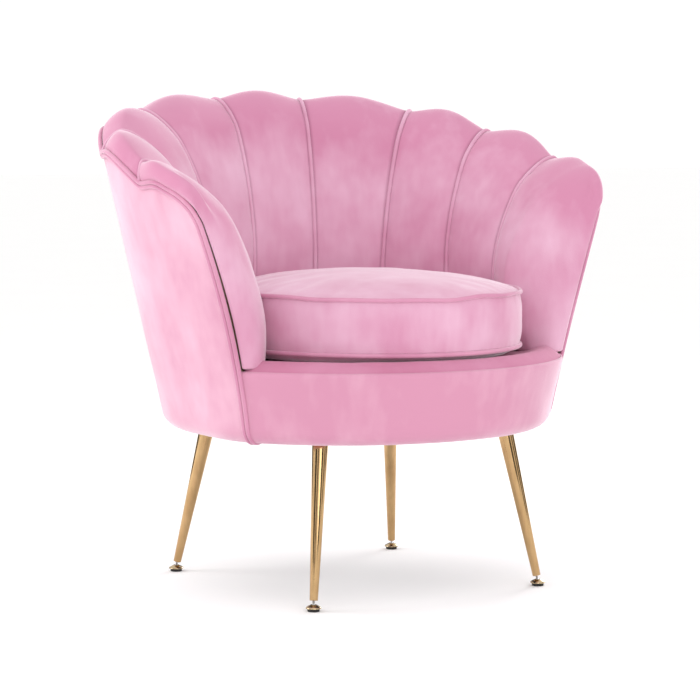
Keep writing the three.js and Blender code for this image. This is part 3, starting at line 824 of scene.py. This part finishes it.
def welt_path():
    """Points on the outer face along the welt, and the way out of the face at each."""
    corner_z = crest_z(ARM_LOBE) - WELT_DROP
    insets, heights = np.array(lower_edge(ROLL_ROWS)).T
    edge_z = np.concatenate([heights[1:], np.linspace(heights[-1], corner_z, 70)[1:-1]])
    edge_inset = np.concatenate([insets[1:], np.zeros(68)])
    lobes = np.linspace(-ARM_LOBE, ARM_LOBE, 361)
    lobe = np.concatenate([np.full(len(edge_z), -ARM_LOBE), lobes, np.full(len(edge_z), ARM_LOBE)])
    z = np.concatenate([edge_z, crest_z(lobes) - WELT_DROP, edge_z[::-1]])
    inset = np.concatenate([edge_inset, 0 * lobes, edge_inset[::-1]])
    angle = lobe_angle(lobe, z)
    radius = outer_radius(angle, z) - inset
    slope = (outer_radius(angle, z + 0.001) - outer_radius(angle, z)) / 0.001
    under = inset / ROLL_RADIUS
    out = polar(angle, np.maximum(1 - under, 0), -slope * (1 - under) - under)
    out /= np.linalg.norm(out, axis=-1, keepdims=True)
    return polar(angle, radius, z), out


face, out = welt_path()
for turn in range(3):
    face[1:-1] = (face[:-2] + face[1:-1] * 2 + face[2:]) / 4
along = np.gradient(face, axis=0)
along /= np.linalg.norm(along, axis=-1, keepdims=True)
sideways = np.cross(along, out)
sideways /= np.linalg.norm(sideways, axis=-1, keepdims=True)
cords = []
for side in (-1, 1):
    lift = WELT_CORD_RADIUS - WELT_SINK
    middle = face + out * lift + sideways * side * WELT_CORD_RADIUS * 0.97
    cords.append(cord_piece(f"welt_cord_{side}", middle, WELT_CORD_RADIUS, shaded_welt_velvet))
only(cords[0])
cords[1].select_set(True)
bpy.ops.object.join()
welt = bpy.context.object
welt.name = "double_welt_cords"
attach(welt, "frame")
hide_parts("double_welt")

# ---------------------------------------------------------------------------
# Seat cushion: a loose oval foam cushion in velvet. Its top and bottom panels
# crown between two piped seams, and the border bulges between them.
# ---------------------------------------------------------------------------

SEAM_LOW = 0.0192  # of the lower seam above the cushion's underside
SEAM_HIGH = 0.1010
CUSHION_TOP_CUT = 0.0215  # crown before the filling swells it
SWELL_LIMIT = 0.014
SWELL_HEADROOM = 0.012  # of the crown above the solid cushion
SMOOTHING_TURNS = 6
CLOTH_FRAMES = 20
SEWN_BAND = 0.0035  # height either side of a seam that is held
BORDER_BULGE = 1.004  # of the cut cover's border, against its seams
SEAM_INSET = (0.0055, 0.006)  # of the seams from the solid cushion's sides
PIPING_WAVE = 0.0016
PIPING_PROUD = 0.0008
CUSHION_VOXEL = 0.005

low_corner, high_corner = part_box("seat_cushion")
cushion_middle = (low_corner + high_corner) / 2
cushion_half = (high_corner - low_corner) / 2
cushion_bottom = low_corner.z
seam_heights = (cushion_bottom + SEAM_LOW, cushion_bottom + SEAM_HIGH)
seam_half = np.array([cushion_half.x - SEAM_INSET[0], cushion_half.y - SEAM_INSET[1]])


def spun(name, profile, segments):
    """A piece turned round the upright axis from a profile of radius and height."""
    mesh = bpy.data.meshes.new(name)
    edges = [(i, i + 1) for i in range(len(profile) - 1)]
    mesh.from_pydata([(r, 0, h) for r, h in profile], edges, [])
    piece = bpy.data.objects.new(name, mesh)
    scene.collection.objects.link(piece)
    only(piece)
    lathe = piece.modifiers.new("lathe", "SCREW")
    lathe.steps = segments
    lathe.render_steps = segments
    lathe.use_merge_vertices = True
    lathe.merge_threshold = 0.00001
    bpy.ops.object.modifier_apply(modifier=lathe.name)
    return finish_mesh(piece)


def wave(points):
    """Uneven height of the seams round the cushion, none at its middle."""
    flat = (points - np.array(cushion_middle)) * (1, 1, 0)
    out = np.linalg.norm(flat[..., :2] / seam_half, axis=-1)
    upwards = ease(points[..., 2], *seam_heights)
    return rumple(flat, 0.07, PIPING_WAVE, 5) * upwards * np.clip(out, 0, 1) ** 4 * 2


def cut_cushion():
    """The cover before it is filled: straight-sided, with flat panels that rise a little."""
    lower, upper = seam_heights
    profile = [(0, cushion_bottom + 0.001), (0.72, cushion_bottom + 0.001)]
    profile += [(0.86, blend(cushion_bottom, lower, 0.25)), (0.95, blend(cushion_bottom, lower, 0.6))]
    profile += [(1, lower), *((BORDER_BULGE, blend(lower, upper, t)) for t in (0.25, 0.5, 0.75))]
    shares = (1, 0.97, 0.9, 0.8, 0.6, 0.4, 0.2, 0)
    profile += [(share, upper + CUSHION_TOP_CUT * (1 - share**2.2) ** 0.8) for share in shares]
    cut = spun("seat_cushion_cover", profile, 96)
    points = read_points(cut.data)
    points[:, :2] *= seam_half
    points[:, :2] += np.array(cushion_middle)[:2]
    write_points(cut.data, points)
    return cut


def fill(cover):
    """Swells the cover over its foam by a short cloth simulation, held at the sewn seams."""
    only(cover)
    remesh = cover.modifiers.new("remesh", "REMESH")
    remesh.mode = "VOXEL"
    remesh.voxel_size = CUSHION_VOXEL
    bpy.ops.object.modifier_apply(modifier=remesh.name)
    cut = read_points(cover.data)
    out = np.linalg.norm((cut[:, :2] - np.array(cushion_middle)[:2]) / seam_half, axis=-1)
    at_seam = np.min([np.abs(cut[:, 2] - z) for z in seam_heights], axis=0) < SEWN_BAND
    sewn = np.flatnonzero((at_seam & (out > 0.975)) | (cut[:, 2] < cushion_bottom + 0.003))
    group = cover.vertex_groups.new(name="sewn")
    group.add(sewn.tolist(), 1.0, "REPLACE")
    cloth = cover.modifiers.new("cloth", "CLOTH")
    cloth.settings.quality = 5
    cloth.settings.mass = 0.3
    cloth.settings.tension_stiffness = 12
    cloth.settings.compression_stiffness = 12
    cloth.settings.bending_stiffness = 3
    cloth.settings.use_pressure = True
    cloth.settings.uniform_pressure_force = 4
    cloth.settings.shrink_min = -0.01
    cloth.settings.vertex_group_mass = group.name
    cloth.settings.effector_weights.gravity = 0
    for step in range(1, CLOTH_FRAMES + 1):
        scene.frame_set(step)
    only(cover)
    bpy.ops.object.modifier_apply(modifier=cloth.name)
    scene.frame_set(1)
    moved = read_points(cover.data) - cut
    length = np.maximum(np.linalg.norm(moved, axis=-1, keepdims=True), 1e-9)
    limited = SWELL_LIMIT * np.tanh(length / SWELL_LIMIT)
    points = cut + moved / length * limited
    points[:, 2] = np.clip(points[:, 2], cushion_bottom, high_corner.z + SWELL_HEADROOM)
    write_points(cover.data, points)
    for vertex in cover.data.vertices:
        vertex.select = True
    for index in sewn:
        cover.data.vertices[index].select = False
    scene.tool_settings.mesh_select_mode = (True, False, False)
    bpy.ops.object.mode_set(mode="EDIT")
    bpy.ops.mesh.vertices_smooth(factor=0.5, repeat=SMOOTHING_TURNS)
    bpy.ops.object.mode_set(mode="OBJECT")


cushion = cut_cushion()
fill(cushion)
points = read_points(cushion.data)
points[:, 2] += wave(points)
points[:, 2] += rumple(points, 0.06, 0.0014, 8) * ease(points[:, 2], *seam_heights)
write_points(cushion.data, points)
soften(cushion)
wear(cushion, cushion_velvet)
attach(cushion, "cushion")
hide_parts("seat_cushion")

for edge, seam_z in zip(("bottom", "top"), seam_heights):
    turn = np.radians(np.arange(0, 360, 1.5))
    ring_half = seam_half + PIPING_PROUD
    ring = np.stack([np.sin(turn) * ring_half[0], np.cos(turn) * ring_half[1], 0 * turn], -1)
    ring += np.array([cushion_middle.x, cushion_middle.y, seam_z])
    ring[:, 2] += wave(ring)
    piping = cord_piece(f"cushion_piping_cord_{edge}", ring, PIPING_RADIUS, shaded_welt_velvet, closed=True)
    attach(piping, "cushion")
    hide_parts(f"cushion_piping_{edge}")

# ---------------------------------------------------------------------------
# Legs: tapered tubes in polished pale gold that lean outwards from round
# steel plates under the board, each with a swivelling foot on a threaded stud.
# ---------------------------------------------------------------------------

LEG_RADIUS_TOP = 0.0124
LEG_RADIUS_BOTTOM = 0.00615
LEG_BOTTOM = 0.0076  # from the ball, along the leg
STUD_RADIUS = 0.002
STUD_NECK_RADIUS = 0.0014
BALL_RADIUS = 0.003
STUD_TOP = 0.0256
THREAD_PITCH = 0.0008
PAD_RADIUS = 0.009
PAD_THICKNESS = 0.004
CUP_RADIUS = 0.01175
CUP_TOP_RADIUS = 0.0042
CUP_TOP_Z = 0.0101
BALL_Z = 0.0081  # of the ball's middle, above the floor
LEG_SIDES = 48

gold = metal("pale_gold", (0.34, 0.20, 0.085, 1), (0.68, 0.46, 0.235, 1), 0.08, 0.08)
foot_gold = metal("foot_gold", (0.40, 0.30, 0.18, 1), (0.68, 0.54, 0.34, 1), 0.16, 0.12, (1, 1, 1))


def foot_rubber():
    finish = Finish("foot_rubber")
    grain = finish.noise(1500, 2.0)
    finish.colour(finish.mix(grain, (0.006, 0.006, 0.007, 1), (0.022, 0.022, 0.024, 1)))
    finish.roughness(0.6 + grain * 0.25)
    finish.bump(grain, 0.0001, 0.5)
    return finish.material


rubber = foot_rubber()


def leg_profile(length):
    """From the bore's mouth out, up the taper, and back down inside the tube's wall."""
    bore = STUD_RADIUS + 0.0003
    return [
        (bore, LEG_BOTTOM + 0.02), (bore, LEG_BOTTOM + 0.0004), (bore + 0.0004, LEG_BOTTOM),
        (LEG_RADIUS_BOTTOM - 0.0007, LEG_BOTTOM), (LEG_RADIUS_BOTTOM - 0.0002, LEG_BOTTOM + 0.0002),
        (LEG_RADIUS_BOTTOM, LEG_BOTTOM + 0.0008), (LEG_RADIUS_TOP, length),
        (LEG_RADIUS_TOP - 0.0012, length), (LEG_RADIUS_BOTTOM - 0.001, LEG_BOTTOM + 0.03),
        (bore, LEG_BOTTOM + 0.02),
    ]


def stud_profile():
    """The ball, a neck and a thread."""
    turns = np.radians(np.arange(0, 151, 15))
    ball = [(BALL_RADIUS * math.sin(turn), -BALL_RADIUS * math.cos(turn)) for turn in turns]
    profile = [*ball, (STUD_NECK_RADIUS, 0.0028), (STUD_NECK_RADIUS, 0.0032)]
    for turn in range(int((STUD_TOP - 0.0042) / THREAD_PITCH)):
        z = 0.0036 + turn * THREAD_PITCH
        profile += [(STUD_RADIUS - 0.0003, z), (STUD_RADIUS, z + THREAD_PITCH / 2)]
    return [*profile, (STUD_RADIUS - 0.0005, STUD_TOP - 0.0002), (0, STUD_TOP - 0.0002)]


def cup_profile():
    """A domed cup with a rolled rim, open at the top for the ball."""
    rim_z = PAD_THICKNESS + 0.0003
    dome = []
    for t in np.linspace(0, 1, 7):
        radius = blend(CUP_RADIUS - 0.0004, CUP_TOP_RADIUS, t)
        dome.append((radius, blend(rim_z + 0.0017, CUP_TOP_Z, t**0.8)))
    socket = BALL_RADIUS + 0.00035
    turns = np.radians((36, 15, -10, -35, -60))
    wall = [(socket * math.cos(turn), BALL_Z + socket * math.sin(turn)) for turn in turns]
    return [
        (0, rim_z), (CUP_RADIUS - 0.0006, rim_z), (CUP_RADIUS - 0.0001, rim_z + 0.0004),
        (CUP_RADIUS, rim_z + 0.0009), *dome, *wall, (0, BALL_Z - socket),
    ]


def pad_profile():
    return [
        (0, 0), (PAD_RADIUS - 0.0007, 0), (PAD_RADIUS - 0.0002, 0.0002), (PAD_RADIUS, 0.0007),
        (PAD_RADIUS, PAD_THICKNESS - 0.0003), (PAD_RADIUS - 0.0003, PAD_THICKNESS), (0, PAD_THICKNESS),
    ]


def set_down(piece, axis, foot):
    """Tips a piece turned round the upright axis onto an axis through a foot."""
    tilt = Vector((0, 0, 1)).rotation_difference(Vector(axis))
    piece.data.transform(Matrix.Translation(foot) @ tilt.to_matrix().to_4x4())


def dress(piece, body, node, material):
    only(piece)
    bpy.ops.object.shade_smooth_by_angle(angle=math.radians(40))
    wear(piece, material)
    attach(piece, body)
    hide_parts(node)


joints = {joint["name"]: joint for joint in frame["joints"]}
plate_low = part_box("leg_plate_front_left")[0]
leg_top_z = plate_low.z - 0.0002

for corner in ("front_left", "back_left", "front_right", "back_right"):
    ball = Vector(joints[f"swivel_{corner}"]["pos_m"])
    axis = -Vector(joints[f"level_{corner}"]["axis"])
    floor_point = Vector((ball.x, ball.y, 0))
    length = (leg_top_z - ball.z) / axis.z

    leg = spun(f"leg_tube_{corner}", leg_profile(length), LEG_SIDES)
    points = read_points(leg.data)
    top = points[:, 2] > length - 1e-5
    set_down(leg, axis, ball)
    points = read_points(leg.data)
    points[top] += np.array(axis) * ((leg_top_z - points[top, 2]) / axis.z)[:, None]
    write_points(leg.data, points)
    dress(leg, "frame", f"leg_{corner}", gold)

    stud = spun(f"foot_stud_thread_{corner}", stud_profile(), 24)
    set_down(stud, axis, ball)
    dress(stud, f"stud_{corner}", f"foot_stud_{corner}", hidden_finishes["zinc_steel"])

    cup = spun(f"foot_cup_dome_{corner}", cup_profile(), LEG_SIDES)
    set_down(cup, (0, 0, 1), floor_point)
    dress(cup, f"foot_{corner}", f"foot_cup_{corner}", foot_gold)

    pad = spun(f"foot_pad_disc_{corner}", pad_profile(), LEG_SIDES)
    set_down(pad, (0, 0, 1), floor_point)
    dress(pad, f"foot_{corner}", f"foot_pad_{corner}", rubber)

# ---------------------------------------------------------------------------
# Floor and flags: a wide pale floor that runs off out of sight, and black
# flags around the chair, seen only in what the polished legs reflect.
# ---------------------------------------------------------------------------

FLOOR_SIZE = 60
FLAG_DISTANCE = 2.2
FLAG_HEIGHT = 1.6
# The azimuth in degrees and the width of each flag
FLAGS = ((-80, 0.9), (-50, 0.4), (4, 0.8), (40, 0.5), (75, 1.0), (150, 1.1), (-150, 1.1))


def floor_finish():
    finish = Finish("floor", Specular_IOR_Level=0.2)
    cloud = finish.noise(2.0, 2.0)
    finish.colour(finish.mix(cloud, (0.94, 0.94, 0.94, 1), (0.96, 0.96, 0.96, 1)))
    finish.roughness(0.85 + cloud * 0.1)
    return finish.material


bpy.ops.mesh.primitive_plane_add(size=FLOOR_SIZE, location=(0, 0, 0))
floor = bpy.context.object
floor.name = "floor"
wear(floor, floor_finish())

flag_black = Finish("flag_black", Base_Color=(0.01, 0.01, 0.01, 1), Roughness=0.9).material
for number, (azimuth, width) in enumerate(FLAGS, 1):
    bpy.ops.mesh.primitive_plane_add(size=1)
    flag = bpy.context.object
    flag.name = f"flag_{number}"
    place = around(math.radians(azimuth), 0, FLAG_DISTANCE, Vector((0, 0, FLAG_HEIGHT / 2)))
    facing = Vector((-place.x, -place.y, 0)).to_track_quat("Z", "Y").to_matrix().to_4x4()
    stretched = Matrix.Diagonal((width, FLAG_HEIGHT, 1, 1))
    flag.data.transform(Matrix.Translation(place) @ facing @ stretched)
    wear(flag, flag_black)
    flag.visible_camera = False
    flag.visible_diffuse = False
    flag.visible_shadow = False
